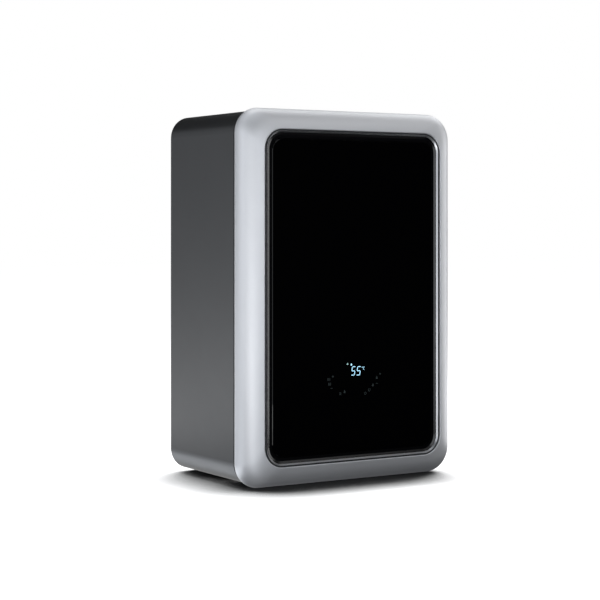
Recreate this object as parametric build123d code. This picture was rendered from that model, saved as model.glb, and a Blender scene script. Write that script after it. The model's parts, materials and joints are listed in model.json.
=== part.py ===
"""Wall-hung condensing combi boiler: a compact gas heater for radiators and tap water.

Row frame: millimetres, +Z up, the front faces -Y and the wall is at +Y. The origin is the middle
of the footprint, on the surface that the casing stands on. Everything behind the front cover is
laid out round three centre lines: the heat exchanger drum, the fan and the row of pipe tails.
"""

from build123d import *
from math import acos, cos, radians, sin, sqrt
import os

# Driving dimensions
WIDTH, DEPTH, HEIGHT = 400.0, 256.0, 590.0
BULGE = 4.0              # how far the front bezel stands out beyond the casing, all round
CASE_W, CASE_H, CASE_R = WIDTH - 2 * BULGE, HEIGHT - 2 * BULGE, 35.0
MID_Z = HEIGHT / 2
FRONT_Y, WALL_Y = -DEPTH / 2, DEPTH / 2
SEAM_Y = FRONT_Y + 45.0  # plane where the casing and the front cover meet
SEAM_GAP = 2.0
SHEET = 1.2              # casing sheet steel
CASE_TOP, CASE_BOTTOM = HEIGHT - BULGE, BULGE
CASE_FRONT, CASE_BACK = SEAM_Y + SEAM_GAP / 2, WALL_Y
CHASSIS_Y = WALL_Y - 3.0  # front face of the chassis plate inside the casing
RUNNING = 0.05           # radial clearance of a part that turns or slides in another

# Front cover: the opening in the bezel, and the rings set into it
OPEN_W, OPEN_H, OPEN_R = 333.0, 525.0, 32.0
BEZEL_WALL = 2.6
# The bezel's face, as arcs: shoulder, round face, gentle crown. A direction of 0 faces sideways.
SHOULDER_R, FACE_R, CROWN_R = 12.0, 35.0, 70.0
FLANK_AT, FACE_FROM, CROWN_FROM = -28.0, 5.0, 70.0
GASKET_IN = (0.2, 3.4)   # how far each ring's outer and inner edge lies inside the opening
TRIM_IN = (3.6, 6.0)
CARRIER_IN = (6.2, 15.0)
SLOPE_IN = 10.0          # where the carrier's sloped edge ends and its flat border begins
GLASS_IN = 15.4
GLASS_T = 4.0
GLASS_FRONT = FRONT_Y + 4.4
GLASS_BACK = GLASS_FRONT + GLASS_T
PANEL_Y = SEAM_Y - 8.0   # front face of the steel inner panel
DISPLAY_Z, KEYS_Z = 171.0, 150.0
STUD_X, STUD_LOW, STUD_HIGH = 184.0, 90.0, 500.0

# Pipe tails along the underside
TAIL_Y, TAIL_PITCH, TAIL_END = 45.0, 65.0, 9.0
R_3_4, R_1_2 = 13.2, 10.45          # half the outside diameter of G3/4 and G1/2 threads
FLOW_X, HOT_X, GAS_X, COLD_X, RETURN_X = [TAIL_PITCH * k for k in (-2, -1, 0, 1, 2)]
TAILS = [(FLOW_X, R_3_4), (HOT_X, R_1_2), (GAS_X, R_1_2), (COLD_X, R_1_2), (RETURN_X, R_3_4)]
PLATE_Z, PLATE_T = 40.0, 1.5        # bottom plate that carries the tails
NECK_TOP = 62.0                     # where the tails end and the brass blocks begin
WINDOW = (324.0, 130.0, 35.0)       # opening in the casing's underside: length, width, middle in Y

# Main groups inside
DRUM_X, DRUM_Z, DRUM_R = -20.0, 360.0, 100.0
DRUM_FRONT, DRUM_BACK = -25.0, 65.0
IGNITER_X, IGNITER_Z = DRUM_X + 38, DRUM_Z + 32
FAN_X, FAN_Y = 120.0, 5.0
FAN_LOW, FAN_HIGH = 470.0, 514.0
PUMP_X, PUMP_Z, PUMP_R = 104.0, 196.0, 43.0
PUMP_OUT = PUMP_X - 31.5       # centre line of the pump outlet and of the pipe above it
FLUE_Y, FLUE_R, FLUE_BORE, AIR_BORE = 20.0, 30.0, 30.15, 50.2
SCREW_OFF = 59.0                    # half the spacing of the screws in the flue flange
TRAP_X, TRAP_Y, TRAP_R = -150.0, -2.0, 19.0
VALVE_Y = 2.0                       # row of knobs under the plate
SAFETY_X, FILLING_X = -98.0, COLD_X
HINGE_Y, HINGE_Z = -72.0, 52.0      # axis that the control box swings down on
BOX_X0, BOX_X1, BOX_TOP = -172.0, 54.0, 236.0
DIVERTER_X = -98.0


# Helpers

def block(x0, x1, y0, y1, z0, z1):
    """A rectangular block between opposite corners."""
    return Pos((x0 + x1) / 2, (y0 + y1) / 2, (z0 + z1) / 2) * Box(x1 - x0, y1 - y0, z1 - z0)


def upright(x, y, z0, z1, r):
    """A round bar along Z."""
    return Pos(x, y, (z0 + z1) / 2) * Cylinder(r, z1 - z0)


def along_y(x, z, y0, y1, r):
    """A round bar along Y."""
    return Pos(x, (y0 + y1) / 2, z) * Rot(90, 0, 0) * Cylinder(r, y1 - y0)


def along_x(y, z, x0, x1, r):
    """A round bar along X."""
    return Pos((x0 + x1) / 2, y, z) * Rot(0, 90, 0) * Cylinder(r, x1 - x0)


def hexagon(x, y, z0, z1, across):
    """A hexagonal bar along Z, by its width across flats."""
    plan = Plane.XY.offset(z0) * Pos(x, y) * RegularPolygon(across / sqrt(3), 6)
    return extrude(plan, z1 - z0)


def facing(y, x=0.0, z=MID_Z):
    """A sketch plane parallel to the front, seen from the front."""
    return Plane(origin=(x, y, z), x_dir=(1, 0, 0), z_dir=(0, -1, 0))


def slab(w, h, r, y0, y1, x=0.0, z=MID_Z):
    """A plate parallel to the front with round corners, from y0 back to y1."""
    return extrude(facing(y1, x, z) * RectangleRounded(w, h, r), y1 - y0)


def ring(w, h, r, outer, inner, y0, y1):
    """A rounded frame: its edges lie outer and inner millimetres inside a w by h outline."""
    solid = slab(w - 2 * outer, h - 2 * outer, r - outer, y0, y1)
    return solid - slab(w - 2 * inner, h - 2 * inner, max(r - inner, 3.0), y0 - 1, y1 + 1)


def plinth(w, d, r, z0, z1, x, y):
    """A plate parallel to the floor with round corners."""
    return extrude(Plane.XY.offset(z0) * Pos(x, y) * RectangleRounded(w, d, r), z1 - z0)


def pipe(points, r_out, r_in, bends):
    """A hollow pipe along straight runs joined by bends."""
    route = FilletPolyline(*points, radius=bends)
    section = Plane(origin=route @ 0, z_dir=route % 0) * (Circle(r_out) - Circle(r_in))
    return sweep(section, path=route)


def round_array(count, r, start=0.0):
    """Points on a circle, as (x, y) offsets."""
    step = 360.0 / count
    angles = [radians(start + step * k) for k in range(count)]
    return [(r * cos(a), r * sin(a)) for a in angles]


# Casing

def casing_wrap():
    """Sheet-steel sleeve with folded edges, a round flue hole and a window under the tails."""
    sleeve = ring(CASE_W, CASE_H, CASE_R, 0, SHEET, CASE_FRONT, CASE_BACK)
    lips = ring(CASE_W, CASE_H, CASE_R, 0, 22, CASE_FRONT, CASE_FRONT + SHEET)
    lips += ring(CASE_W, CASE_H, CASE_R, 0, 12, CHASSIS_Y - SHEET, CHASSIS_Y)
    body = sleeve + lips
    body -= block(-150.3, 150.3, CHASSIS_Y - 2, WALL_Y + 1, CASE_BOTTOM - 1, CASE_BOTTOM + 13)
    body -= upright(0, FLUE_Y, CASE_TOP - 20, CASE_TOP + 5, 55)
    length, width, middle = WINDOW
    body -= plinth(length, width, 12, CASE_BOTTOM - 5, CASE_BOTTOM + 12, 0, middle)
    for x in (-STUD_X, STUD_X):
        for z in (STUD_LOW, STUD_HIGH):
            body -= along_y(x, z, CASE_FRONT - 1, CASE_FRONT + SHEET + 1, 5.2)
    return body


def back_frame():
    """Galvanised chassis plate with hanging windows, fixing holes, ribs and a standing edge."""
    y0, y1 = CHASSIS_Y, CHASSIS_Y + 1.5
    plate = slab(CASE_W - 3, CASE_H - 3, CASE_R - 1.5, y0, y1)
    plate += block(-150, 150, y0, y1, 0, 30)
    for x in (-110, 110):
        rib = slab(44, 430, 8, y1, WALL_Y, x, 300) - slab(36, 422, 4, y1, WALL_Y - 1.2, x, 300)
        plate += rib
    for z in (90, 505):
        plate += slab(150, 30, 6, y1, WALL_Y, 0, z)
    for x in (-120, 120):
        plate -= extrude(facing(WALL_Y + 1, x, 548) * SlotOverall(34, 14), 6)
    for x in (-160, 160):
        plate -= along_y(x, 548, y0 - 1, WALL_Y + 1, 5.0)
    return plate


def bottom_plate():
    """Folded tray that holds the five tails; knobs and the trap outlet pass through it."""
    y0, y1 = -60.0, CHASSIS_Y - SHEET
    plate = block(-186, 186, y0, y1, PLATE_Z, PLATE_Z + PLATE_T)
    for x in (-186, 186 - PLATE_T):
        plate += block(x, x + PLATE_T, y0, y1, PLATE_Z, PLATE_Z + 14)
    plate += block(-186, 186, y1 - PLATE_T, y1, PLATE_Z, PLATE_Z + 14)
    for x, r in TAILS:
        plate -= upright(x, TAIL_Y, PLATE_Z - 1, PLATE_Z + 3, r - 1.3)
    for x in (SAFETY_X, FILLING_X):
        plate -= upright(x, VALVE_Y, PLATE_Z - 1, PLATE_Z + 3, 6.0)
    plate -= upright(TRAP_X, TRAP_Y, PLATE_Z - 1, PLATE_Z + 3, 11.2)
    plate -= upright(-20, VALVE_Y, PLATE_Z - 1, PLATE_Z + 3, 8.2)
    return plate


# Front cover

def bezel_face():
    """Outlines of the bezel's face, from the seam gap inwards: y, width, height, radius.

    A short flank starts level with the casing and widens to a shoulder. The round face and a
    gentle crown carry it to 2 mm past the edge of the opening.
    """
    reach = (CASE_W - OPEN_W) / 2
    forward = SEAM_Y - SEAM_GAP / 2 - FRONT_Y
    flank, face, crown = radians(FLANK_AT), radians(FACE_FROM), radians(CROWN_FROM)
    across = FACE_R - BULGE
    crown_across = across + (CROWN_R - FACE_R) * cos(crown)
    crown_behind = forward - CROWN_R * sin(acos((crown_across - reach) / CROWN_R))
    behind = crown_behind + (CROWN_R - FACE_R) * sin(crown)
    shoulder_across = across - (FACE_R - SHOULDER_R) * cos(face)
    shoulder_behind = behind + (FACE_R - SHOULDER_R) * sin(face)
    past = acos((crown_across - reach - 2) / CROWN_R)
    arcs = [
        (shoulder_across, shoulder_behind, SHOULDER_R, (flank, flank / 3, face)),
        (across, behind, FACE_R, [face + (crown - face) * k / 5 for k in range(1, 5)]),
        (crown_across, crown_behind, CROWN_R, (crown, (crown + past) / 2, past)),
    ]
    points = [(0.0, 0.0)]
    for middle, centre, radius, angles in arcs:
        points += [(middle - radius * cos(a), centre + radius * sin(a)) for a in angles]
    outlines = []
    for inset, ahead in points:
        share = (inset + BULGE) / (reach + BULGE)
        corner = CASE_R + BULGE + share * (OPEN_R - CASE_R - BULGE)
        if ahead < behind:
            corner = CASE_R - inset
        y = SEAM_Y - SEAM_GAP / 2 - ahead
        outlines.append((y, CASE_W - 2 * inset, CASE_H - 2 * inset, corner))
    return outlines


def bezel_loft(shrink, y_shift):
    """A smooth solid through the bezel's outlines, moved inwards by shrink."""
    face = []
    for y, w, h, r in bezel_face():
        face.append(facing(y + y_shift) * RectangleRounded(w - 2 * shrink, h - 2 * shrink, r - shrink))
    return loft(face)


def bezel_frame():
    """Silver moulded frame: a thin round-faced ring with a wall behind its inner edge."""
    skin = bezel_loft(0, 0) - bezel_loft(BEZEL_WALL, BEZEL_WALL)
    skin -= slab(OPEN_W, OPEN_H, OPEN_R, FRONT_Y - 2, SEAM_Y)
    wall = ring(OPEN_W, OPEN_H, OPEN_R, -BEZEL_WALL, 0, FRONT_Y + 1.4, PANEL_Y)
    return skin + wall


def cover_panel():
    """Sheet-steel inner panel that closes the cover from behind, with a folded edge."""
    plate = slab(CASE_W - 12, CASE_H - 12, CASE_R - 6, PANEL_Y, PANEL_Y + 1)
    rib = ring(CASE_W, CASE_H, CASE_R, 16, 17, PANEL_Y + 1, PANEL_Y + 5)
    plate += rib
    for x in (-STUD_X, STUD_X):
        for z in (STUD_LOW, STUD_HIGH):
            plate += along_y(x, z, PANEL_Y, PANEL_Y + 3, 4.8)
    return plate


def cover_seal():
    """Foam seal between the cover and the casing's front lip."""
    return ring(CASE_W, CASE_H, CASE_R, 17.4, 21.6, PANEL_Y + 1, CASE_FRONT)


def trim_gasket():
    """Dark rubber ring between the bezel and the bright trim."""
    return ring(OPEN_W, OPEN_H, OPEN_R, *GASKET_IN, FRONT_Y + 2.4, FRONT_Y + 14)


def funnel(y0, inset0, y1, inset1):
    """Solid between two outlines that lie inset0 and inset1 inside the opening, to cut slopes with."""
    outlines = []
    for y, inset in ((y0, inset0), (y1, inset1)):
        outline = RectangleRounded(OPEN_W - 2 * inset, OPEN_H - 2 * inset, OPEN_R - inset)
        outlines.append(facing(y) * outline)
    return loft(outlines)


def trim_ring():
    """Bright trim ring whose front face slopes inwards."""
    trim = ring(OPEN_W, OPEN_H, OPEN_R, *TRIM_IN, FRONT_Y + 0.8, FRONT_Y + 14)
    return trim - funnel(FRONT_Y + 0.8, TRIM_IN[0] + 0.3, FRONT_Y + 3.0, TRIM_IN[1] + 0.1)


def glass_carrier():
    """Gloss black frame round the glass: a sloped edge, a flat border, and a ledge behind."""
    rim, floor = FRONT_Y + 3.0, GLASS_FRONT + 0.2
    border = ring(OPEN_W, OPEN_H, OPEN_R, *CARRIER_IN, rim, GLASS_BACK + 4)
    border -= funnel(rim, CARRIER_IN[0] + 0.4, floor, SLOPE_IN)
    ledge = ring(OPEN_W, OPEN_H, OPEN_R, 12, 30, GLASS_BACK, GLASS_BACK + 4)
    return border + ledge


def front_glass():
    """Black tempered glass with a ground edge."""
    w, h = OPEN_W - 2 * GLASS_IN, OPEN_H - 2 * GLASS_IN
    glass = slab(w, h, OPEN_R - GLASS_IN + 4, GLASS_FRONT, GLASS_BACK)
    front = glass.faces().sort_by(Axis.Y)[0]
    return chamfer(front.edges(), 0.8)


def touch_board():
    """Circuit board with round touch pads in an arc, behind the glass."""
    y = GLASS_BACK + 5
    board = slab(150, 110, 6, y, y + 1.6, 0, KEYS_Z)
    for angle in range(200, 341, 20):
        a = radians(angle)
        board += along_y(46 * cos(a), DISPLAY_Z - 8 + 46 * sin(a), GLASS_BACK + 0.1, y, 5)
    return board


def display_module():
    """Two-digit display block that stands on the touch board and faces the glass."""
    return slab(48, 26, 3, GLASS_BACK + 0.1, GLASS_BACK + 5, 0, DISPLAY_Z)


def ball_studs():
    """Four ball studs on the cover that push into the catches."""
    studs = []
    for x in (-STUD_X, STUD_X):
        for z in (STUD_LOW, STUD_HIGH):
            stem = along_y(x, z, PANEL_Y + 3, CASE_FRONT + 7, 2.2)
            studs.append(stem + Pos(x, CASE_FRONT + 7, z) * Sphere(4.0))
    return Compound(studs)


def catch_clips():
    """Four plastic catches in the casing's front lip."""
    clips = []
    for x in (-STUD_X, STUD_X):
        for z in (STUD_LOW, STUD_HIGH):
            cup = along_y(x, z, CASE_FRONT + SHEET, CASE_FRONT + 14, 6.4)
            cup += along_y(x, z, CASE_FRONT, CASE_FRONT + SHEET, 5.2)
            clips.append(cup - along_y(x, z, CASE_FRONT - 1, CASE_FRONT + 12, 4.0 + RUNNING))
    return Compound(clips)


# Underside

def tail(x, r):
    """Threaded brass tail with a hexagon collar under the plate and a neck above it."""
    body = upright(x, TAIL_Y, TAIL_END, 31, r)
    body = chamfer(body.edges().sort_by(Axis.Z)[0], 1.0)
    body += hexagon(x, TAIL_Y, 31, PLATE_Z, 2 * r + 3)
    body += upright(x, TAIL_Y, PLATE_Z, NECK_TOP, r - 1.5)
    return body - upright(x, TAIL_Y, TAIL_END - 1, NECK_TOP + 1, r - 4)


def heating_tails():
    """Two G3/4 tails for the heating flow and return."""
    return Compound([tail(x, r) for x, r in TAILS if r == R_3_4])


def tap_and_gas_tails():
    """Three G1/2 tails for hot water, gas and cold water."""
    return Compound([tail(x, r) for x, r in TAILS if r == R_1_2])


def tail_nuts():
    """Back nuts that clamp the tails to the plate."""
    nuts = []
    for x, r in TAILS:
        z = PLATE_Z + PLATE_T
        nut = hexagon(x, TAIL_Y, z, z + 7, 2 * r + 4)
        nuts.append(nut - upright(x, TAIL_Y, z - 1, z + 8, r - 1.5))
    return Compound(nuts)


def mains_cable_gland():
    """Empty cable gland for the mains lead."""
    gland = hexagon(-20, VALVE_Y, PLATE_Z - 6, PLATE_Z, 20)
    gland += upright(-20, VALVE_Y, PLATE_Z, PLATE_Z + 10, 8)
    gland += upright(-20, VALVE_Y, PLATE_Z - 14, PLATE_Z - 6, 8.5)
    return gland - upright(-20, VALVE_Y, PLATE_Z - 15, PLATE_Z + 11, 4.5)


def knob(x, length, r, lobes):
    """Hand knob under the plate with finger scallops and a short stem through the plate."""
    top = PLATE_Z - 2
    body = upright(x, VALVE_Y, top - length, top, r)
    for dx, dy in round_array(lobes, r + 1.5):
        body -= upright(x + dx, VALVE_Y + dy, top - length - 1, top - 4, 3.2)
    return body + upright(x, VALVE_Y, top, NECK_TOP + 10, 4.0)


def safety_valve_knob():
    return knob(SAFETY_X, 16, 13, 6)


def filling_knob():
    return knob(FILLING_X, 22, 12, 8)


# Hydraulics

def flow_block():
    """Brass block on the left: heating flow, hot water, diverter chamber and safety valve."""
    body = block(-152, -44, 24, 66, NECK_TOP, 150)
    body = fillet(body.edges().filter_by(Axis.Z), 8)
    body += upright(SAFETY_X, VALVE_Y, NECK_TOP, 100, 14)
    body += block(SAFETY_X - 8, SAFETY_X + 8, VALVE_Y, 26, 70, 92)
    body += upright(SAFETY_X, VALVE_Y, 100, 108, 9)
    body -= upright(SAFETY_X, VALVE_Y, NECK_TOP - 1, NECK_TOP + 14, 4.0 + RUNNING)
    for x in (FLOW_X, HOT_X):
        body -= upright(x, TAIL_Y, NECK_TOP - 1, 82, 8)
    body -= upright(DIVERTER_X, TAIL_Y, 84, 140, 9)
    body -= upright(DIVERTER_X, TAIL_Y, 139, 151, 3.0 + RUNNING)
    return body + upright(-125, TAIL_Y, 150, 158, 10.5)


def diverter_spindle():
    """Valve plug on its rod, lifted by the diverter motor."""
    rod = upright(DIVERTER_X, TAIL_Y, 90, 158, 3.0)
    return rod + upright(DIVERTER_X, TAIL_Y, 96, 104, 8.6)


def diverter_motor():
    """Stepper motor head on top of the diverter chamber."""
    head = plinth(44, 38, 6, 150, 196, DIVERTER_X + 6, TAIL_Y)
    head += upright(DIVERTER_X + 6, TAIL_Y, 196, 204, 15)
    head -= upright(DIVERTER_X, TAIL_Y, 149, 172, 3.0 + RUNNING)
    return head


def return_block():
    """Brass block on the right: heating return and the pump's suction side."""
    body = block(98, 156, 24, 66, NECK_TOP, 146)
    body = fillet(body.edges().filter_by(Axis.Z), 8)
    body += upright(130, 8, 70, 96, 12) + block(122, 138, 8, 26, 74, 92)
    return body - upright(RETURN_X, TAIL_Y, NECK_TOP - 1, 90, 9)


def cold_inlet_block():
    """Cold inlet with the flow sensor tube and the filling valve."""
    x = FILLING_X
    body = upright(x, TAIL_Y, NECK_TOP, 104, 14) + block(46, 84, 24, 66, 104, 150)
    body += upright(x, VALVE_Y, NECK_TOP, 120, 12) + block(57, 73, VALVE_Y, 26, 106, 118)
    body -= upright(x, TAIL_Y, NECK_TOP - 1, 100, 9)
    body -= upright(x, VALVE_Y, NECK_TOP - 1, NECK_TOP + 14, 4.0 + RUNNING)
    for a in (0, 90):
        spider = Pos(x, TAIL_Y, 69) * Rot(0, 0, a) * Box(19, 1.6, 2)
        body += spider
    return body + upright(x, TAIL_Y, 68, 92, 1.2)


def flow_turbine():
    """Small turbine that spins on a fixed pin in the cold inlet."""
    x = FILLING_X
    hub = upright(x, TAIL_Y, 72, 88, 3.2)
    for k in range(5):
        vane = Pos(x, TAIL_Y, 80) * Rot(0, 0, 72 * k) * Pos(5.2, 0, 0) * Rot(30, 0, 0) * Box(5.6, 0.9, 13)
        hub += vane
    return hub - upright(x, TAIL_Y, 71, 89, 1.2 + RUNNING)


def plate_heat_exchanger():
    """Stack of brazed plates that heats the tap water."""
    body = slab(200, 76, 14, 70, 112, 0, 114)
    for k in range(10):
        y = 73 + 4 * k
        body -= slab(204, 80, 16, y, y + 1.4, 0, 114) - slab(197, 73, 13, y - 1, y + 2.4, 0, 114)
    body -= slab(188, 64, 10, 74, 108, 0, 114)
    for x in (-75, 60):
        for z in (96, 132):
            body += along_y(x, z, 66, 70, 9)
            body -= along_y(x, z, 65, 75, 6)
    return body


def pump_volute():
    """Pump housing with its suction below and its outlet to the heat exchanger above."""
    body = along_y(PUMP_X, PUMP_Z, 20, 62, PUMP_R)
    body += upright(126, TAIL_Y - 4, 146, 180, 12)
    body += block(PUMP_OUT - 11.5, PUMP_OUT + 11.5, 34, 56, PUMP_Z, 240)
    body += upright(140, 41, 200, 232, 8)
    body -= along_y(PUMP_X, PUMP_Z, 19, 52, 34)
    return body - along_y(PUMP_X, PUMP_Z, 50, 58, 3.0 + RUNNING)


def pump_motor():
    """Round motor can and its square electronics housing."""
    can = along_y(PUMP_X, PUMP_Z, -56, 20, 41) - along_y(PUMP_X, PUMP_Z, -30, 21, 26)
    for k in range(8):
        a = 22.5 + 45 * k
        can += Pos(PUMP_X, -18, PUMP_Z) * Rot(0, a, 0) * Pos(41, 0, 0) * Box(5, 60, 3)
    can += slab(80, 76, 8, -77, -56, PUMP_X, PUMP_Z) - slab(74, 70, 5, -74, -59, PUMP_X, PUMP_Z)
    return can - along_y(PUMP_X, PUMP_Z, -40, -29, 3.0 + RUNNING)


def pump_rotor():
    """Wet rotor, shaft and impeller of the circulation pump."""
    rotor = along_y(PUMP_X, PUMP_Z, -38, 56, 3.0) + along_y(PUMP_X, PUMP_Z, -26, 16, 24)
    rotor += along_y(PUMP_X, PUMP_Z, 24, 27, 31) + along_y(PUMP_X, PUMP_Z, 27, 40, 8)
    for k in range(6):
        rotor += Pos(PUMP_X, 32, PUMP_Z) * Rot(0, 60 * k, 0) * Pos(18, 0, 0) * Rot(0, 30, 0) * Box(24, 12, 2)
    return rotor


def air_vent():
    """Automatic air vent beside the pump."""
    body = upright(140, 41, 232, 262, 11) + upright(140, 41, 262, 270, 5)
    return body + upright(140, 41, 270, 274, 7)


def condensate_trap():
    """Bottle trap with a cleaning cap and a hose spout below the plate."""
    body = upright(TRAP_X, TRAP_Y, 62, 228, TRAP_R) - upright(TRAP_X, TRAP_Y, 66, 224, TRAP_R - 2)
    body += upright(TRAP_X, TRAP_Y, 52, 62, TRAP_R + 2)
    spout = upright(TRAP_X, TRAP_Y, 14, 53, 9)
    for z in (16, 21, 26):
        spout += Pos(TRAP_X, TRAP_Y, z + 1.5) * Cone(9, 10.4, 3)
    body += spout + upright(TRAP_X, TRAP_Y, 228, 240, 9)
    return body - upright(TRAP_X, TRAP_Y, 13, 67, 6.5)


# Heat cell

def heat_exchanger_drum():
    """Round heat exchanger body, open at the front, with the water ports below."""
    body = along_y(DRUM_X, DRUM_Z, DRUM_FRONT, DRUM_BACK, DRUM_R)
    for x, top in ((DRUM_X - 75, 312), (PUMP_OUT, 330)):
        body += upright(x, TAIL_Y, 276, top, 12)
    body += block(-124, DRUM_X - 90, -5, 45, 335, 385)
    for y in (-12, 10, 32, 54):
        body += along_y(DRUM_X, DRUM_Z, y, y + 4, DRUM_R + 3)
    body -= along_y(DRUM_X, DRUM_Z, DRUM_FRONT - 1, DRUM_BACK - 4, 84)
    body -= along_y(DRUM_X, DRUM_Z, DRUM_FRONT + 6, DRUM_BACK - 4, 95)
    return body - block(-125, DRUM_X - 60, 0, 40, 340, 380)


def heat_exchanger_coils():
    """Stainless coils between the burner and the drum wall."""
    coils = []
    for k in range(5):
        y = DRUM_FRONT + 20 + 13.5 * k
        coils.append(Pos(DRUM_X, y, DRUM_Z) * Rot(90, 0, 0) * Torus(66, 6.2))
    return Compound(coils)


def burner_door():
    """Cast door on the front of the drum, with cooling ribs round the gas inlet."""
    y0, y1 = DRUM_FRONT - 12, DRUM_FRONT
    door = along_y(DRUM_X, DRUM_Z, y0, y1, 97)
    door -= along_y(DRUM_X, DRUM_Z, y0 - 1, y1 + 1, 17)
    for k in range(12):
        a = 15 + 30 * k
        door += Pos(DRUM_X, y0 - 3, DRUM_Z) * Rot(0, a, 0) * Pos(52, 0, 0) * Box(52, 6, 3)
    for dx, dz in round_array(6, 88):
        door += along_y(DRUM_X + dx, DRUM_Z + dz, y0 - 2, y0, 8)
    return door - along_y(IGNITER_X, IGNITER_Z, y0 - 8, y1 + 1, 6)


def door_nuts():
    """Six nuts on the burner door."""
    nuts = []
    for dx, dz in round_array(6, 88):
        nut = facing(DRUM_FRONT - 14, DRUM_X + dx, DRUM_Z + dz) * RegularPolygon(5.8, 6)
        nuts.append(extrude(nut, 6))
    return Compound(nuts)


def burner_tube():
    """Slotted burner cylinder behind the door."""
    tube = along_y(DRUM_X, DRUM_Z, DRUM_FRONT, 42, 34) - along_y(DRUM_X, DRUM_Z, DRUM_FRONT - 1, 40, 32.6)
    for k in range(12):
        for y in (-8, 8, 24):
            tube -= Pos(DRUM_X, y, DRUM_Z) * Rot(0, 30 * k, 0) * Pos(33, 0, 0) * Box(6, 10, 1.6)
    return tube


def ignition_electrode():
    """Ceramic igniter through the burner door."""
    x, z = IGNITER_X, IGNITER_Z
    body = along_y(x, z, DRUM_FRONT - 40, 8, 6 - RUNNING) + along_y(x, z, 8, 22, 1.2)
    return body + along_y(x, z, DRUM_FRONT - 44, DRUM_FRONT - 40, 3)


def burner_duct():
    """Cast duct that carries the gas and air mix from the fan to the burner door."""
    y = -62
    duct = pipe(
        [(54, y, 492), (DRUM_X, y, 492), (DRUM_X, y, DRUM_Z), (DRUM_X, DRUM_FRONT - 12, DRUM_Z)],
        18, 15.5, [36, 20],
    )
    flange = along_y(DRUM_X, DRUM_Z, DRUM_FRONT - 15, DRUM_FRONT - 12, 24)
    return duct + (flange - along_y(DRUM_X, DRUM_Z, DRUM_FRONT - 16, DRUM_FRONT - 11, 15.5))


def fan_volute():
    """Snail-shaped fan housing; the outlet points left, towards the burner."""
    body = upright(FAN_X, FAN_Y, FAN_LOW, FAN_HIGH, 62)
    body += block(54, FAN_X, -78, -5, FAN_LOW, FAN_HIGH)
    body += block(FAN_X, FAN_X + 40, -66, -5, FAN_LOW, FAN_HIGH)
    body = fillet(body.edges().filter_by(Axis.Z).sort_by(Axis.Y)[0:3], 10)
    body -= upright(FAN_X, FAN_Y, FAN_LOW + 3, FAN_HIGH - 3, 56)
    body -= block(53, FAN_X, -73, -44, FAN_LOW + 7, FAN_HIGH - 7)
    body -= upright(FAN_X, FAN_Y, FAN_LOW - 1, FAN_LOW + 4, 24)
    return body - upright(FAN_X, FAN_Y, FAN_HIGH - 4, FAN_HIGH + 1, 6)


def fan_impeller():
    """Backward-curved impeller on the motor shaft."""
    body = upright(FAN_X, FAN_Y, FAN_HIGH - 9, FAN_HIGH - 7, 50)
    ring_low = upright(FAN_X, FAN_Y, FAN_LOW + 6, FAN_LOW + 8, 50)
    body += ring_low - upright(FAN_X, FAN_Y, FAN_LOW + 5, FAN_LOW + 9, 30)
    for k in range(14):
        angle = 360 / 14 * k
        blade = Pos(FAN_X, FAN_Y, (FAN_LOW + FAN_HIGH) / 2) * Rot(0, 0, angle) * Pos(39, 0, 0)
        body += blade * Rot(0, 0, 35) * Box(20, 1.6, FAN_HIGH - FAN_LOW - 14)
    return body + upright(FAN_X, FAN_Y, FAN_HIGH - 16, FAN_HIGH + 26, 4)


def fan_motor():
    """Round fan motor with cooling slots on its cap."""
    body = upright(FAN_X, FAN_Y, FAN_HIGH, FAN_HIGH + 42, 42)
    body = fillet(body.edges().sort_by(Axis.Z)[-1], 6)
    for k in range(16):
        slot = Pos(FAN_X, FAN_Y, FAN_HIGH + 42) * Rot(0, 0, 22.5 * k) * Pos(26, 0, 0)
        body -= slot * Box(16, 2.4, 8)
    body += block(FAN_X + 30, FAN_X + 60, -15, 25, FAN_HIGH, FAN_HIGH + 26)
    return body - upright(FAN_X, FAN_Y, FAN_HIGH - 1, FAN_HIGH + 30, 4 + RUNNING)


def venturi_mixer():
    """Mixer under the fan: air enters at the front, gas from the valve below."""
    body = upright(FAN_X, FAN_Y, 425, FAN_LOW, 34)
    body += along_y(FAN_X, 447, -62, FAN_Y, 20)
    body -= along_y(FAN_X, 447, -63, FAN_Y, 17)
    body -= upright(FAN_X, FAN_Y, 432, FAN_LOW + 1, 24)
    return body - upright(FAN_X, FAN_Y, 424, 433, 7)


def gas_valve():
    """Gas valve block with its two coils and flanges."""
    body = block(86, 160, -34, 44, 318, 400)
    body = fillet(body.edges().filter_by(Axis.Y), 6)
    body += upright(FAN_X, FAN_Y, 400, 425, 16)
    for z in (338, 378):
        body += along_y(103, z, -62, -34, 14)
    body += block(128, 156, -54, -34, 328, 388)
    return body + upright(FAN_X, 12, 300, 318, 14)


def gas_pipe():
    """Gas pipe from the middle tail to the valve."""
    route = [(0, TAIL_Y, NECK_TOP), (0, TAIL_Y, 200), (0, 12, 248), (FAN_X, 12, 262), (FAN_X, 12, 300)]
    return pipe(route, 7.5, 6.3, [20, 20, 18])


def flow_pipe():
    """Heating flow pipe from the drum to the left block."""
    top = DRUM_X - 75
    route = [(-125, TAIL_Y, 158), (-125, TAIL_Y, 222), (top, TAIL_Y, 244), (top, TAIL_Y, 276)]
    return pipe(route, 9, 8, [20, 20])


def return_pipe():
    """Heating return pipe from the pump to the drum, with a union nut at each end."""
    body = upright(PUMP_OUT, TAIL_Y, 240, 276, 9)
    for z in (240, 266):
        body += hexagon(PUMP_OUT, TAIL_Y, z, z + 10, 24)
    return body - upright(PUMP_OUT, TAIL_Y, 239, 277, 8)


def vessel_pipe():
    """Small pipe from the expansion vessel to the return block."""
    return pipe([(134, 99, 180), (134, 99, 124), (134, 66, 124)], 5, 4, [16])


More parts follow.
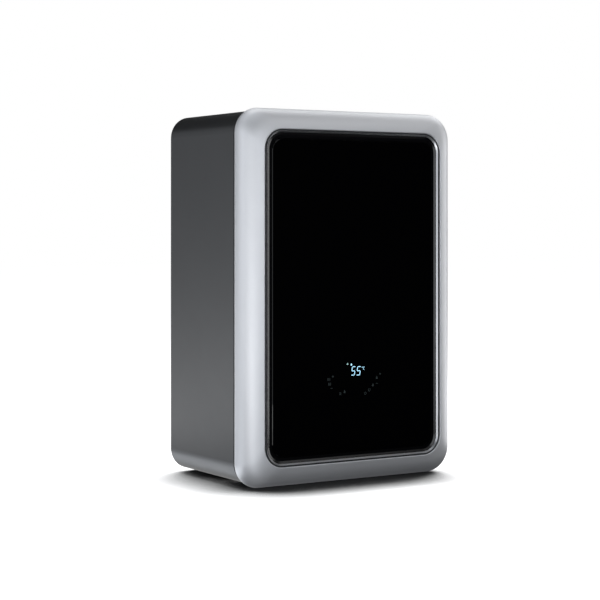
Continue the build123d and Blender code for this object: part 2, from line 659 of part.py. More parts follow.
def expansion_vessel():
    """Flat pressed-steel expansion vessel behind the heat cell, with a rolled seam round it."""
    body = slab(350, 330, 46, 76, CHASSIS_Y, 0, 350)
    body = fillet(body.edges().group_by(Axis.Y)[0], 12)
    body += slab(356, 336, 48, 97, 103, 0, 350)
    body += upright(134, 99, 180, 190, 8)
    inside = slab(347, 327, 44.5, 77.5, CHASSIS_Y - 1.5, 0, 350)
    body -= fillet(inside.edges().group_by(Axis.Y)[0], 10.5)
    return body - upright(134, 99, 179, 191, 4)


def flue_collector():
    """Plastic box beside the drum: exhaust leaves above and condensate below."""
    body = block(-186, -124, -12, 52, 262, 400)
    body = fillet(body.edges().filter_by(Axis.Z), 8)
    body -= block(-182, -125, -8, 48, 268, 396) - block(-126, -124, -8, 48, 268, 396)
    body -= block(-128, -123, 0, 40, 340, 380)
    body -= upright(-155, FLUE_Y, 395, 401, 28)
    body += upright(TRAP_X, TRAP_Y, 240, 262, 9)
    return body - upright(TRAP_X, TRAP_Y, 239, 269, 6.5)


def flue_duct():
    """Flue pipe from the collector to the socket in the casing's top."""
    route = [(-155, FLUE_Y, 400), (-155, FLUE_Y, 506), (0, FLUE_Y, 506), (0, FLUE_Y, 553)]
    return pipe(route, FLUE_R, 28.4, [46, 38])


def air_collar():
    """Screwed flange with the 100 mm collar that the outer air pipe pushes into."""
    collar = plinth(136, 136, 14, CASE_TOP, CASE_TOP + 2, 0, FLUE_Y)
    collar += upright(0, FLUE_Y, 563, 589, 53)
    for x in (-SCREW_OFF, SCREW_OFF):
        for y in (-SCREW_OFF, SCREW_OFF):
            collar -= upright(x, FLUE_Y + y, CASE_TOP - 1, CASE_TOP + 3, 2.0)
    return collar - upright(0, FLUE_Y, 562, 590, AIR_BORE)


def flue_socket():
    """Socket for the 60 mm flue pipe, on the end of the flue duct in the middle of the collar."""
    socket = upright(0, FLUE_Y, 553, 589, 32.6) + upright(0, FLUE_Y, 545, 553, 32.6)
    socket -= upright(0, FLUE_Y, 556, 590, FLUE_BORE)
    socket -= upright(0, FLUE_Y, 552, 557, 28.4)
    return socket - upright(0, FLUE_Y, 544, 553, FLUE_R)


def collar_screws():
    """Four screws that hold the air collar to the casing."""
    screws = []
    for x in (-SCREW_OFF, SCREW_OFF):
        for y in (-SCREW_OFF, SCREW_OFF):
            head = Pos(x, FLUE_Y + y, CASE_TOP + 3) * Cylinder(4, 2)
            head -= Pos(x, FLUE_Y + y, CASE_TOP + 4) * Box(5, 1, 1.4)
            head += upright(x, FLUE_Y + y, CASE_TOP, CASE_TOP + 2, 1.95)
            screws.append(head)
    return Compound(screws)


# Control box

def control_box_tray():
    """Plastic tray for the main board, with a hinge pin at each lower corner."""
    tray = block(BOX_X0, BOX_X1, -74, -34, 58, BOX_TOP)
    tray = fillet(tray.edges().filter_by(Axis.Y), 6)
    tray -= block(BOX_X0 + 2.5, BOX_X1 - 2.5, -75, -37, 60.5, BOX_TOP - 2.5)
    for x in (BOX_X0 + 4, BOX_X1 - 12):
        tray += block(x, x + 8, HINGE_Y - 2, HINGE_Y + 10, HINGE_Z, 62)
        tray += along_x(HINGE_Y, HINGE_Z, x, x + 8, 5)
    tray += along_x(HINGE_Y, HINGE_Z, BOX_X0 - 6, BOX_X0 + 4, 3)
    return tray + along_x(HINGE_Y, HINGE_Z, BOX_X1 - 4, BOX_X1 + 6, 3)


def control_box_lid():
    """Clip-on lid of the control box, with vent slots."""
    lid = slab(BOX_X1 - BOX_X0, BOX_TOP - 58, 6, -78, -74, (BOX_X0 + BOX_X1) / 2, (58 + BOX_TOP) / 2)
    for k in range(9):
        lid -= slab(4, 34, 1.8, -79, -73, BOX_X0 + 40 + 9 * k, BOX_TOP - 34)
    return lid


def main_board():
    """Main circuit board with relays, transformer, fuse holder and terminals."""
    x0, z0 = BOX_X0 + 8, 68.0
    board = block(x0, BOX_X1 - 8, -42, -40.4, z0, BOX_TOP - 10)
    board += block(x0 + 12, x0 + 56, -66, -42, z0 + 100, z0 + 138)
    for k in range(4):
        board += block(x0 + 74 + 24 * k, x0 + 92 + 24 * k, -58, -42, z0 + 110, z0 + 138)
    for k in range(10):
        board += block(x0 + 10 + 20 * k, x0 + 26 + 20 * k, -54, -42, z0 + 6, z0 + 20)
    board += block(x0 + 110, x0 + 150, -46, -42, z0 + 50, z0 + 84)
    for dx in (30, 48):
        board += along_y(x0 + dx, z0 + 60, -68, -42, 7)
    return board


def control_box_brackets():
    """Two ears on the bottom plate that carry the hinge pins of the control box."""
    ears = []
    for x in (BOX_X0 - 5, BOX_X1 + 1):
        ear = block(x, x + 4, HINGE_Y - 7, HINGE_Y + 22, PLATE_Z + PLATE_T, HINGE_Z + 6)
        foot = block(x, x + 4, -60, HINGE_Y + 22, PLATE_Z + PLATE_T, PLATE_Z + PLATE_T + 2)
        ears.append(ear + foot - along_x(HINGE_Y, HINGE_Z, x - 1, x + 5, 3 + RUNNING))
    return Compound(ears)


PARTS = {
    "casing_wrap": casing_wrap,
    "back_frame": back_frame,
    "bottom_plate": bottom_plate,
    "heating_tails": heating_tails,
    "tap_and_gas_tails": tap_and_gas_tails,
    "tail_nuts": tail_nuts,
    "mains_cable_gland": mains_cable_gland,
    "flow_block": flow_block,
    "return_block": return_block,
    "cold_inlet_block": cold_inlet_block,
    "plate_heat_exchanger": plate_heat_exchanger,
    "pump_volute": pump_volute,
    "pump_motor": pump_motor,
    "air_vent": air_vent,
    "diverter_motor": diverter_motor,
    "condensate_trap": condensate_trap,
    "flue_collector": flue_collector,
    "heat_exchanger_drum": heat_exchanger_drum,
    "heat_exchanger_coils": heat_exchanger_coils,
    "burner_door": burner_door,
    "door_nuts": door_nuts,
    "burner_tube": burner_tube,
    "ignition_electrode": ignition_electrode,
    "burner_duct": burner_duct,
    "fan_volute": fan_volute,
    "fan_motor": fan_motor,
    "venturi_mixer": venturi_mixer,
    "gas_valve": gas_valve,
    "gas_pipe": gas_pipe,
    "flow_pipe": flow_pipe,
    "return_pipe": return_pipe,
    "vessel_pipe": vessel_pipe,
    "expansion_vessel": expansion_vessel,
    "flue_duct": flue_duct,
    "air_collar": air_collar,
    "flue_socket": flue_socket,
    "collar_screws": collar_screws,
    "catch_clips": catch_clips,
    "control_box_brackets": control_box_brackets,
    "bezel_frame": bezel_frame,
    "cover_panel": cover_panel,
    "cover_seal": cover_seal,
    "trim_gasket": trim_gasket,
    "trim_ring": trim_ring,
    "glass_carrier": glass_carrier,
    "front_glass": front_glass,
    "touch_board": touch_board,
    "display_module": display_module,
    "ball_studs": ball_studs,
    "control_box_tray": control_box_tray,
    "control_box_lid": control_box_lid,
    "main_board": main_board,
    "fan_impeller": fan_impeller,
    "pump_rotor": pump_rotor,
    "flow_turbine": flow_turbine,
    "diverter_spindle": diverter_spindle,
    "safety_valve_knob": safety_valve_knob,
    "filling_knob": filling_knob,
}

os.makedirs("parts", exist_ok=True)
for node, make in PARTS.items():
    export_step(make(), f"parts/{node}.step")
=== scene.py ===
"""Looks of the wall-hung combi boiler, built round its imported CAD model.

Metres, +Z up, the glass front faces -Y and the wall is at +Y, as in the CAD.
"""

import json
from math import acos, cos, pi, radians, sin

import bpy
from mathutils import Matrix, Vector


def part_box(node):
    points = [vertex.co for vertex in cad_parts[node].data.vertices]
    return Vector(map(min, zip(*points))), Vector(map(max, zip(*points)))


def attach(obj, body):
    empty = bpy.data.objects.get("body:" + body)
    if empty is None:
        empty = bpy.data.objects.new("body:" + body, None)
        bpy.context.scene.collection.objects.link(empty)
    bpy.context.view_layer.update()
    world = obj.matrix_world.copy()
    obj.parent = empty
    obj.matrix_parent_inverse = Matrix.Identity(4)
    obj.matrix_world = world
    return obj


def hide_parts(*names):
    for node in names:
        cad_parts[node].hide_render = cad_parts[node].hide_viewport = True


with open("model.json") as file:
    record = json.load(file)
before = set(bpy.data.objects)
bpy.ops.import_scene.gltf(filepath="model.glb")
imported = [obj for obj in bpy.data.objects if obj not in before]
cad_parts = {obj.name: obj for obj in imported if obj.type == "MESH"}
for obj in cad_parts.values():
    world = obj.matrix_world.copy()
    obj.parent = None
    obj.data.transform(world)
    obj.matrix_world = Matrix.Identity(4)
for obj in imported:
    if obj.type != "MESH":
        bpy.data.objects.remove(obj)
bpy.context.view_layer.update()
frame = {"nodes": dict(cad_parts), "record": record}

MM = 0.001

# Camera, as in the photograph
CAMERA_AT = (-1.4758, -2.3376, 0.4130)
CAMERA_TURN = 31.84      # degrees to the right of straight at the front
LENS = 100.50
SHIFT_Y = -0.1306

# Bezel, as in the CAD model
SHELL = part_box("casing_wrap")
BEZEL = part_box("bezel_frame")
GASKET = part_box("trim_gasket")
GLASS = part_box("front_glass")
BULGE = BEZEL[1][0] - SHELL[1][0]
SHELL_R = 35 * MM
OPEN_R = 32 * MM
LIP_R = 0.7 * MM         # rounding of the bezel's rear edge
SHOULDER_R = 12 * MM     # radii of its face: shoulder, round face and gentle crown
FACE_R = 35 * MM
CROWN_R = 70 * MM
FLANK_AT = -28           # directions where they begin, in degrees, where 0 faces sideways
FACE_FROM = 5
CROWN_FROM = 70
WALL = 2.6 * MM
EDGE_R = 1.2 * MM        # rounding of the bezel's inner edge
REACH = GASKET[0][0] - 0.2 * MM - SHELL[0][0]
MID_Z = (BEZEL[0][2] + BEZEL[1][2]) / 2
BEZEL_FRONT = 44 * MM    # from the seam gap to the bezel's front face


# Materials

def socket(node, name, value):
    node.inputs[name].default_value = value


class Finish:
    """A Principled material with helpers that add procedural detail in object space."""

    def __init__(self, name, colour, rough, metallic=0.0, ior=1.5, **extra):
        self.material = bpy.data.materials.new(name)
        self.material.use_nodes = True
        self.tree = self.material.node_tree
        self.shader = self.tree.nodes["Principled BSDF"]
        self.colour = (*colour, 1.0)
        socket(self.shader, "Base Color", self.colour)
        socket(self.shader, "Roughness", rough)
        socket(self.shader, "Metallic", metallic)
        socket(self.shader, "IOR", ior)
        for key, value in extra.items():
            socket(self.shader, key.replace("_", " ").title().replace("Ior", "IOR"), value)
        self.rough = rough
        self.space = self.tree.nodes.new("ShaderNodeTexCoord").outputs["Object"]
        self.normal = None

    def node(self, kind, **settings):
        node = self.tree.nodes.new("ShaderNode" + kind)
        for key, value in settings.items():
            setattr(node, key, value)
        return node

    def link(self, a, b):
        self.tree.links.new(a, b)

    def noise(self, scale, detail=3.0, stretch=(1, 1, 1)):
        """A noise value over the surface, stretched along the axes."""
        mapping = self.node("Mapping")
        socket(mapping, "Scale", stretch)
        self.link(self.space, mapping.inputs["Vector"])
        texture = self.node("TexNoise")
        socket(texture, "Scale", scale)
        socket(texture, "Detail", detail)
        self.link(mapping.outputs["Vector"], texture.inputs["Vector"])
        return texture.outputs["Fac"]

    def mottle(self, value, amount):
        """Lightens and darkens the base colour with a noise value."""
        mix = self.node("Mix", data_type="RGBA")
        low = [c * (1 - amount) for c in self.colour[:3]]
        high = [min(1.0, c * (1 + amount)) for c in self.colour[:3]]
        mix.inputs[6].default_value = (*low, 1)
        mix.inputs[7].default_value = (*high, 1)
        self.link(value, mix.inputs[0])
        self.link(mix.outputs[2], self.shader.inputs["Base Color"])
        return self

    def vary_rough(self, value, amount):
        """Makes the surface shinier and duller with a noise value."""
        span = self.node("MapRange")
        socket(span, "To Min", max(0.02, self.rough - amount))
        socket(span, "To Max", min(1.0, self.rough + amount))
        self.link(value, span.inputs["Value"])
        self.link(span.outputs["Result"], self.shader.inputs["Roughness"])
        return self

    def bump(self, value, depth, strength=1.0):
        """Raises the surface by depth metres with a value, on top of any earlier bump."""
        node = self.node("Bump")
        socket(node, "Strength", strength)
        socket(node, "Distance", depth)
        self.link(value, node.inputs["Height"])
        if self.normal is not None:
            self.link(self.normal, node.inputs["Normal"])
        self.normal = node.outputs["Normal"]
        self.link(self.normal, self.shader.inputs["Normal"])
        return self


def painted(name, colour, rough, grain=700, depth=0.02 * MM, **extra):
    """Powder coat or lacquer: a fine orange peel and a faint unevenness of gloss."""
    finish = Finish(name, colour, rough, **extra)
    finish.mottle(finish.noise(14, 4), 0.035)
    finish.vary_rough(finish.noise(40, 4), 0.04)
    finish.bump(finish.noise(grain, 2), depth)
    return finish.material


def moulded(name, colour, rough, **extra):
    """Moulded plastic: a fine spark-eroded texture."""
    finish = Finish(name, colour, rough, **extra)
    finish.mottle(finish.noise(25, 3), 0.05)
    finish.vary_rough(finish.noise(120, 3), 0.06)
    finish.bump(finish.noise(1800, 2), 0.015 * MM)
    return finish.material


def sheet_metal(name, colour, rough, stretch, depth=0.01 * MM):
    """Rolled, drawn or brushed metal, with its grain along the axis that has the low stretch."""
    finish = Finish(name, colour, rough, metallic=1.0)
    finish.mottle(finish.noise(30, 5), 0.08)
    streaks = finish.noise(60, 4, stretch)
    finish.vary_rough(streaks, 0.09)
    finish.bump(streaks, depth)
    return finish.material


def galvanised(name):
    """Hot-dip zinc with its spangle."""
    finish = Finish(name, (0.6, 0.62, 0.64), 0.4, metallic=1.0)
    spangle = finish.node("TexVoronoi")
    socket(spangle, "Scale", 150.0)
    finish.link(finish.space, spangle.inputs["Vector"])
    grey = finish.node("RGBToBW")
    finish.link(spangle.outputs["Color"], grey.inputs["Color"])
    finish.mottle(grey.outputs["Val"], 0.09)
    finish.vary_rough(grey.outputs["Val"], 0.05)
    finish.bump(finish.noise(300, 3), 0.01 * MM)
    return finish.material


def cast_finish(name, colour):
    """Cast metal with a pebbled skin, open to more detail."""
    finish = Finish(name, colour, 0.48, metallic=1.0)
    finish.mottle(finish.noise(60, 5), 0.12)
    finish.vary_rough(finish.noise(90, 4), 0.1)
    finish.bump(finish.noise(450, 4), 0.06 * MM)
    return finish


def cast_metal(name, colour):
    """Cast metal as it leaves the die."""
    return cast_finish(name, colour).material


def threaded_metal(name, colour, pitch, top):
    """Cast metal with rings at a thread's pitch on every face below the height top."""
    finish = cast_finish(name, colour)
    threads = finish.node("TexWave", bands_direction="Z")
    socket(threads, "Scale", 2 * pi / 20 / pitch)
    finish.link(finish.space, threads.inputs["Vector"])
    height = finish.node("SeparateXYZ")
    finish.link(finish.space, height.inputs["Vector"])
    below = finish.node("Math", operation="LESS_THAN")
    below.inputs[1].default_value = top
    finish.link(height.outputs["Z"], below.inputs[0])
    cut = finish.node("Math", operation="MULTIPLY")
    finish.link(threads.outputs["Fac"], cut.inputs[0])
    finish.link(below.outputs["Value"], cut.inputs[1])
    finish.bump(cut.outputs["Value"], THREAD_DEPTH)
    return finish.material


def silver_lacquer(name):
    """Satin silver lacquer over plastic, with fine metal flakes under a clear coat."""
    finish = Finish(name, (0.70, 0.71, 0.735), 0.53, metallic=0.85)
    finish.mottle(finish.noise(900, 1), 0.02)
    finish.vary_rough(finish.noise(35, 3), 0.02)
    finish.bump(finish.noise(420, 2), 0.002 * MM)
    return finish.material


def black_glass(name):
    """Black tempered glass: nearly flawless, with the faintest roller wave."""
    finish = Finish(name, (0.0008, 0.0008, 0.001), 0.035, ior=1.42)
    finish.vary_rough(finish.noise(6, 3), 0.012)
    finish.bump(finish.noise(9, 1), 0.004 * MM)
    return finish.material


def circuit_board(name):
    """Green solder mask with pale tracks under it."""
    finish = Finish(name, (0.02, 0.13, 0.06), 0.3, coat_weight=0.4)
    tracks = finish.node("TexBrick")
    socket(tracks, "Scale", 160.0)
    socket(tracks, "Mortar Size", 0.03)
    turned = finish.node("Mapping")
    socket(turned, "Rotation", (pi / 2, 0, 0))
    finish.link(finish.space, turned.inputs["Vector"])
    finish.link(turned.outputs["Vector"], tracks.inputs["Vector"])
    finish.mottle(tracks.outputs["Fac"], 0.45)
    finish.bump(tracks.outputs["Fac"], 0.03 * MM)
    return finish.material


def glowing(name, colour, strength):
    """A lit display colour that falls off slightly over each mark."""
    finish = Finish(name, (0.02, 0.03, 0.03), 0.3)
    socket(finish.shader, "Emission Color", (*colour, 1.0))
    glow = finish.node("MapRange")
    socket(glow, "To Min", strength * 0.85)
    socket(glow, "To Max", strength * 1.1)
    finish.link(finish.noise(700, 2), glow.inputs["Value"])
    finish.link(glow.outputs["Result"], finish.shader.inputs["Emission Strength"])
    return finish.material


BRASS = (0.7, 0.52, 0.24)
THREAD_PITCH = 1.814 * MM    # of both G1/2 and G3/4
THREAD_DEPTH = 0.8 * MM
THREAD_TOP = 29 * MM         # height where the tails' threads end
FINISHES = {
    "casing_paint": painted("casing_paint", (0.125, 0.128, 0.132), 0.36, depth=0.006 * MM, metallic=0.9),
    "galvanised": galvanised("galvanised"),
    "silver_plastic": silver_lacquer("silver_plastic"),
    "black_glass": black_glass("black_glass"),
    "gloss_black": painted("gloss_black", (0.0015, 0.0015, 0.002), 0.2, 500, 0.0005 * MM, ior=1.5),
    "bright_trim": painted("bright_trim", (0.5, 0.51, 0.53), 0.34, 500, 0.0005 * MM, metallic=1.0),
    "dark_rubber": moulded("dark_rubber", (0.02, 0.021, 0.023), 0.62),
    "foam_seal": moulded("foam_seal", (0.03, 0.03, 0.031), 0.9),
    "black_plastic": moulded("black_plastic", (0.022, 0.022, 0.024), 0.5),
    "white_plastic": moulded("white_plastic", (0.74, 0.74, 0.71), 0.42),
    "grey_plastic": moulded("grey_plastic", (0.22, 0.225, 0.235), 0.45),
    "cast_alloy": cast_metal("cast_alloy", (0.55, 0.56, 0.57)),
    "stainless": sheet_metal("stainless", (0.6, 0.6, 0.59), 0.3, (1, 14, 1)),
    "brass": cast_metal("brass", BRASS),
    "copper_pipe": sheet_metal("copper_pipe", (0.76, 0.38, 0.23), 0.28, (6, 6, 0.6)),
    "red_paint": painted("red_paint", (0.42, 0.015, 0.012), 0.32, 500, 0.03 * MM),
    "zinc_screw": sheet_metal("zinc_screw", (0.66, 0.66, 0.63), 0.3, (1, 1, 1)),
    "circuit_board": circuit_board("circuit_board"),
    "display_led": moulded("display_led", (0.01, 0.014, 0.016), 0.3),
    "blue_plastic": moulded("blue_plastic", (0.015, 0.08, 0.3), 0.42),
    "red_plastic": moulded("red_plastic", (0.42, 0.012, 0.01), 0.42),
    "black_motor": painted("black_motor", (0.02, 0.02, 0.022), 0.4),
    "ceramic": moulded("ceramic", (0.8, 0.77, 0.7), 0.35),
}
THREADED_TAIL = threaded_metal("brass_thread", BRASS, THREAD_PITCH, THREAD_TOP)
SPECIAL = {"heating_tails": THREADED_TAIL, "tap_and_gas_tails": THREADED_TAIL}
for entry in frame["record"]["subparts"]:
    mesh_object = frame["nodes"][entry["node"]]
    for material_slot in mesh_object.material_slots:
        material_slot.material = SPECIAL.get(entry["node"], FINISHES[entry["material_slot"]])


# Mesh helpers

def add_piece(name, verts, faces, material, body, smooth=True):
    """A new mesh object that rides on a CAD body."""
    mesh = bpy.data.meshes.new(name)
    mesh.from_pydata([tuple(v) for v in verts], [], faces)
    mesh.update()
    if smooth:
        mesh.shade_smooth()
    mesh.materials.append(material)
    piece = bpy.data.objects.new(name, mesh)
    bpy.context.scene.collection.objects.link(piece)
    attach(piece, body)
    return piece


def rounded_outline(width, height, r, steps=20):
    """Points round a rectangle with round corners, in X and Z, the same number for any size."""
    points = []
    for quarter in range(4):
        start = quarter * pi / 2
        sx = 1 if quarter in (0, 3) else -1
        sz = 1 if quarter in (0, 1) else -1
        for k in range(steps + 1):
            angle = start + k / steps * pi / 2
            x = sx * (width / 2 - r) + r * cos(angle)
            z = sz * (height / 2 - r) + r * sin(angle)
            points.append((x, z))
    return points


# Bezel

def arc_rows(middle, behind, radius, start, end, steps):
    """Points on one arc of the bezel's face, with the directions in radians: (inset, ahead)."""
    turns = [start + (end - start) * k / steps for k in range(steps + 1)]
    return [(middle - radius * cos(a), behind + radius * sin(a)) for a in turns]


def bezel_face():
    """The bezel's outer face, from the seam to the opening: (inset, ahead of the seam, corner radius)."""
    flank, face, crown = radians(FLANK_AT), radians(FACE_FROM), radians(CROWN_FROM)
    across = FACE_R - BULGE
    crown_across = across + (CROWN_R - FACE_R) * cos(crown)
    end = acos((crown_across - REACH + EDGE_R) / CROWN_R)
    crown_behind = BEZEL_FRONT - CROWN_R * sin(end)
    behind = crown_behind + (CROWN_R - FACE_R) * sin(crown)
    shoulder_across = across - (FACE_R - SHOULDER_R) * cos(face)
    shoulder_behind = behind + (FACE_R - SHOULDER_R) * sin(face)
    lip_across = LIP_R / cos(flank)
    points = arc_rows(lip_across, LIP_R, LIP_R, -pi / 2, flank, 5)
    points += arc_rows(shoulder_across, shoulder_behind, SHOULDER_R, flank, face, 10)
    points += arc_rows(across, behind, FACE_R, face, crown, 36)[1:]
    points += arc_rows(crown_across, crown_behind, CROWN_R, crown, end, 12)[1:]
    rows = []
    for inset, ahead in points:
        share = (inset + BULGE) / (REACH + BULGE)
        corner = (SHELL_R + BULGE) * (1 - share) + OPEN_R * share
        if ahead < behind:
            corner = SHELL_R - inset
        rows.append((inset, ahead, corner))
    return rows


def bezel_profile():
    """Closed cross-section of the bezel: its face, rounded inner edge, wall and thin inside."""
    face = bezel_face()
    profile = list(face)
    for k in range(1, 7):
        angle = radians(90 - 15 * k)
        inset = REACH - EDGE_R + EDGE_R * cos(angle)
        profile.append((inset, face[-1][1] - EDGE_R + EDGE_R * sin(angle), OPEN_R + REACH - inset))
    profile.append((REACH, 10 * MM, OPEN_R))
    profile.append((REACH - WALL, 10 * MM, OPEN_R + WALL))
    for inset, ahead, corner in reversed(face[6::4]):
        inset += WALL
        if inset < REACH - WALL:
            profile.append((inset, max(ahead - WALL * 0.6, 0.4 * MM), SHELL_R + BULGE - WALL))
    return profile


def bezel():
    """The silver bezel as one smooth closed ring."""
    back = BEZEL[0][1] + BEZEL_FRONT
    width, height = SHELL[1][0] - SHELL[0][0], SHELL[1][2] - SHELL[0][2]
    rings = []
    for inset, ahead, corner in bezel_profile():
        outline = rounded_outline(width - 2 * inset, height - 2 * inset, corner)
        rings.append([(x, back - ahead, MID_Z + z) for x, z in outline])
    count, around = len(rings), len(rings[0])
    verts = [point for loop in rings for point in loop]
    faces = []
    for i in range(count):
        for j in range(around):
            a, b = i * around, (i + 1) % count * around
            faces.append((a + j, a + (j + 1) % around, b + (j + 1) % around, b + j))
    piece = add_piece("bezel", verts, faces, FINISHES["silver_plastic"], "front_cover")
    split_edges(piece, 40)
    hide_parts("bezel_frame")
    return piece


def split_edges(piece, degrees):
    """Keeps edges sharper than this angle crisp in the shading."""
    mesh = piece.data
    mesh.set_sharp_from_angle(angle=radians(degrees))


bezel()


# Display

SEGMENTS = {"top": ((0, 2), (1, 2)), "top_right": ((1, 2), (1, 1)), "right": ((1, 1), (1, 0)),
            "bottom": ((0, 0), (1, 0)), "left": ((0, 0), (0, 1)), "top_left": ((0, 1), (0, 2)),
            "middle": ((0, 1), (1, 1))}
FIVE = ("top", "top_left", "middle", "right", "bottom")
CEE = ("top", "top_left", "left", "bottom")
GLASS_Y = GLASS[0][1]
SLANT = 0.17
MARK_BACK, MARK_FRONT = 0.02 * MM, 0.10 * MM      # how far the marks stand off the glass


def add_prism(verts, faces, outline):
    """A thin plate in front of the glass with the given outline, in millimetres."""
    base, n = len(verts), len(outline)
    for lift in (MARK_BACK, MARK_FRONT):
        verts += [(x * MM, GLASS_Y - lift, z * MM) for x, z in outline]
    faces.append(tuple(base + n + k for k in range(n)))
    faces.append(tuple(base + k for k in reversed(range(n))))
    for k in range(n):
        faces.append((base + k, base + (k + 1) % n, base + n + (k + 1) % n, base + n + k))


def marks(name, outlines, material):
    """A set of thin plates on the glass, as one piece of the front cover."""
    verts, faces = [], []
    for outline in outlines:
        add_prism(verts, faces, outline)
    piece = add_piece(name, verts, faces, material, "front_cover", smooth=False)
    return piece


def bar(a, b, thick, gap):
    """A pointed display segment from a to b."""
    a, b = Vector(a), Vector(b)
    along = (b - a).normalized()
    side = Vector((-along.y, along.x)) * thick / 2
    a, b = a + along * gap, b - along * gap
    tip = along * thick / 2
    return [a, a + tip + side, b - tip + side, b, b - tip - side, a + tip - side]


def digit(x, z, width, height, lit, thick):
    """Seven-segment digit centred on x, z; the segments in lit are drawn."""
    shapes = []
    for name in lit:
        ends = []
        for u, v in SEGMENTS[name]:
            up = (v - 1) * height / 2
            ends.append((x + (u - 0.5) * width + SLANT * up, z + up))
        shapes.append(bar(*ends, thick, thick * 0.15))
    return shapes


def arc(x, z, r, start, end, steps=16):
    """Points on part of a circle, from start to end in degrees."""
    angles = [radians(start + (end - start) * k / steps) for k in range(steps + 1)]
    return [(x + r * cos(a), z + r * sin(a)) for a in angles]


def stroke(points, thick):
    """Outline of a line of even thickness along the points."""
    left, right = [], []
    for k, point in enumerate(points):
        before = Vector(points[max(k - 1, 0)])
        after = Vector(points[min(k + 1, len(points) - 1)])
        along = (after - before).normalized()
        side = Vector((-along.y, along.x)) * thick / 2
        left.append(Vector(point) + side)
        right.append(Vector(point) - side)
    return left + right[::-1]


def glyph(kind, x, z):
    """Generic sign of a touch key, about 4.5 mm across and centred on x, z."""
    if kind == "minus":
        return [stroke([(x - 1.8, z), (x + 1.8, z)], 0.9)]
    if kind == "plus":
        upright = [stroke([(x, z + 0.45), (x, z + 1.8)], 0.9), stroke([(x, z - 1.8), (x, z - 0.45)], 0.9)]
        return glyph("minus", x, z) + upright
    if kind == "menu":
        return [stroke([(x - 2, z + d), (x + 2, z + d)], 0.7) for d in (-1.5, 0, 1.5)]
    if kind == "radiator":
        return [stroke([(x + d, z - 2.2), (x + d, z + 2.2)], 0.9) for d in (-2, 0, 2)]
    if kind == "drop":
        return [[(x, z + 2.8)] + arc(x, z - 0.6, 1.7, 35, -215, 12)]
    if kind == "power":
        return [stroke(arc(x, z, 1.9, 125, 415), 0.7), stroke([(x, z + 0.4), (x, z + 2.6)], 0.7)]
    arrowhead = [(x + 0.7, z + 1.4), (x + 2.6, z + 2.2), (x + 2.3, z + 0.2)]
    return [stroke(arc(x, z, 1.9, 60, 350), 0.7), arrowhead]


KEYS = {
    "heating_up": (("radiator", -47.7, 164.6), ("plus", -39.9, 168.8)),
    "heating_down": (("radiator", -46.1, 157.3), ("minus", -42.5, 150.6)),
    "mode": (("menu", -26.1, 141.2), ("drop", -17.9, 144.0)),
    "standby": (("power", 21.8, 139.3), ("reset", 29.2, 144.1)),
    "water_down": (("drop", 36.3, 151.8), ("minus", 43.7, 154.1)),
    "water_up": (("drop", 43.7, 163.4), ("plus", 50.1, 169.1)),
}


def display():
    """The lit temperature, its unit, the two mode lights and the dim touch keys."""
    ice = glowing("display_ice", (0.42, 0.78, 1.0), 1.6)
    mist = glowing("display_mist", (0.45, 0.74, 0.72), 0.75)
    grey = glowing("key_grey", (0.8, 0.85, 0.9), 0.011)
    marks("display_tens", digit(-1.2, 176.1, 6.0, 13.2, FIVE, 1.1), ice)
    marks("display_units", digit(8.9, 175.8, 6.0, 13.2, FIVE, 1.1), ice)
    degree = stroke(arc(16.0, 181.0, 0.7, 0, 350, 14), 0.35)
    marks("display_celsius", [degree] + digit(19.0, 179.6, 2.0, 4.0, CEE, 0.6), ice)
    flame = [(-12.9, 186.1), (-11.4, 186.2), (-10.8, 187.4), (-11.3, 188.5), (-12.0, 189.5),
             (-12.5, 188.5), (-13.4, 188.1), (-13.8, 187.1)]
    marks("display_mode_heating", [flame], mist)
    marks("display_mode_water", [[(-5.0, 188.4)] + arc(-5.0, 186.0, 1.35, 35, -215, 12)], ice)
    for name, signs in KEYS.items():
        marks("touch_key_" + name, [shape for sign in signs for shape in glyph(*sign)], grey)


display()


# Studio

CARD_DISTANCE = 2.6
CARD_TARGET = Vector((0, -0.03, 0.3))
COOL, NEUTRAL = (0.93, 0.96, 1.0), (1.0, 1.0, 1.0)
# Soft light cards: elevation, (width, height), and watts by direction, where 0 is the front
CARDS = (
    (6, (1.5, 1.6), {-140: 2.7, -92: 12.0, -50: 9.9, -4: 15.5, 80: 13.8}),
    (42, (1.7, 1.3), {-110: 4.5, -75: 2.5, 35: 7.7, 110: 14.7}),
    (-32, (1.6, 1.2), {-150: 10.2, -110: 11.9, -30: 8.1, 60: 0.7, 170: 3.8}),
    (68, (1.4, 1.4), {-110: 5.2, -20: 5.6, 160: 13.4}),
    (-80, (1.6, 1.6), {0: 1.7}),
    (-10, (1.6, 1.2), {178: 7.0}),
)
# Light that the floor throws back: middle of each patch, size, watts
BOUNCES = (
    ((-1.8, 1.9), 1.4, 8.3),
    ((-0.9, 1.0), 1.0, 3.3),
    ((-0.9, -0.9), 1.0, 9.0),
    ((1.2, 0.2), 1.0, 8.2),
)
CONTACT_SHADOW = 0.13     # how far the painted shadow on the floor reaches
SHADOW_LEAN = 75          # how far it is drawn out towards the main camera, in degrees
SHADOW_RANGE = (0.52, 0.88)    # openness of the floor where the shadow is darkest, and where it ends


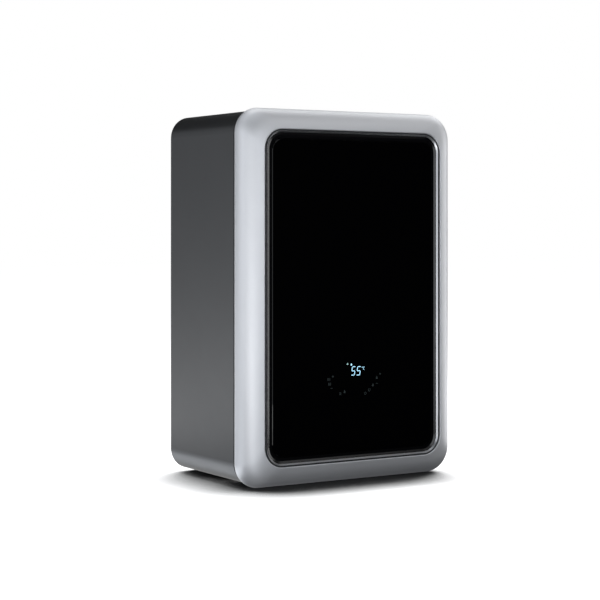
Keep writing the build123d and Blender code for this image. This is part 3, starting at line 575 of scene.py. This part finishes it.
def floor_finish():
    """A bright white floor that glows, with a soft contact shadow painted into its glow and colour in
    front of whatever stands on it.
    """
    finish = Finish("studio_floor", (0.9, 0.9, 0.9), 0.9)
    lean, turn = radians(SHADOW_LEAN), radians(CAMERA_TURN)
    behind = finish.node("CombineXYZ")
    socket(behind, "X", sin(turn) * sin(lean))
    socket(behind, "Y", cos(turn) * sin(lean))
    socket(behind, "Z", cos(lean))
    # painted shadow: ambient occlusion, leant towards the camera, darkens the floor's glow and colour
    contact = finish.node("AmbientOcclusion", samples=32)
    socket(contact, "Distance", CONTACT_SHADOW)
    finish.link(behind.outputs["Vector"], contact.inputs["Normal"])
    light = finish.node("MapRange")
    socket(light, "From Min", SHADOW_RANGE[0])
    socket(light, "From Max", SHADOW_RANGE[1])
    finish.link(contact.outputs["AO"], light.inputs["Value"])
    socket(finish.shader, "Emission Color", (1, 1, 1, 1))
    for part in ("Emission Strength", "Base Color"):
        finish.link(light.outputs["Result"], finish.shader.inputs[part])
    return finish.material


def stage():
    """A floor that only the camera sees, so the cards alone shape the reflections."""
    floor = bpy.data.meshes.new("studio_floor")
    s = 12.0
    floor.from_pydata([(-s, -s, 0), (s, -s, 0), (s, s, 0), (-s, s, 0)], [], [(0, 1, 2, 3)])
    floor_object = bpy.data.objects.new("studio_floor", floor)
    bpy.context.scene.collection.objects.link(floor_object)
    floor.materials.append(floor_finish())
    floor_object.visible_glossy = False
    floor_object.visible_diffuse = False
    floor_object.visible_shadow = False


def soft_light(name, at, facing, size, watts, colour=NEUTRAL):
    """A soft rectangular light, unseen by the camera."""
    data = bpy.data.lights.new(name, "AREA")
    data.shape = "RECTANGLE"
    data.size, data.size_y = size
    data.energy = watts
    data.color = colour
    light = bpy.data.objects.new(name, data)
    bpy.context.scene.collection.objects.link(light)
    light.location = at
    light.rotation_euler = facing.to_track_quat("-Z", "Y").to_euler()
    light.visible_camera = False


def cards():
    """Light cards all round the object, slightly cool on its left."""
    for rise, size, row in CARDS:
        for turn, watts in row.items():
            up, round_ = radians(rise), radians(turn)
            outwards = Vector((sin(round_) * cos(up), -cos(round_) * cos(up), sin(up)))
            colour = COOL if turn < 0 else NEUTRAL
            at = CARD_TARGET + outwards * CARD_DISTANCE
            soft_light(f"card_{turn}_{rise}", at, -outwards, size, watts, colour)


def bounces():
    """Light from patches of the floor, just under it."""
    for (x, y), size, watts in BOUNCES:
        soft_light(f"bounce_{x}_{y}", (x, y, -0.03), Vector((0, 0, 1)), (size, size), watts)


def studio():
    """Soft light all round, in front of a white background that lights nothing."""
    world = bpy.data.worlds.new("studio")
    bpy.context.scene.world = world
    world.use_nodes = True
    background = world.node_tree.nodes["Background"]
    socket(background, "Color", (1, 1, 1, 1))
    socket(background, "Strength", 1.0)
    world.cycles_visibility.diffuse = False
    world.cycles_visibility.glossy = False
    stage()
    cards()
    bounces()


def camera():
    data = bpy.data.cameras.new("photo_camera")
    data.lens = LENS
    data.sensor_width = 36.0
    data.shift_y = SHIFT_Y
    data.clip_start = 0.05
    data.clip_end = 100
    camera_object = bpy.data.objects.new("photo_camera", data)
    bpy.context.scene.collection.objects.link(camera_object)
    camera_object.location = CAMERA_AT
    camera_object.rotation_euler = (pi / 2, 0, -radians(CAMERA_TURN))
    bpy.context.scene.camera = camera_object


studio()
camera()
bpy.context.scene.view_settings.view_transform = "Standard"
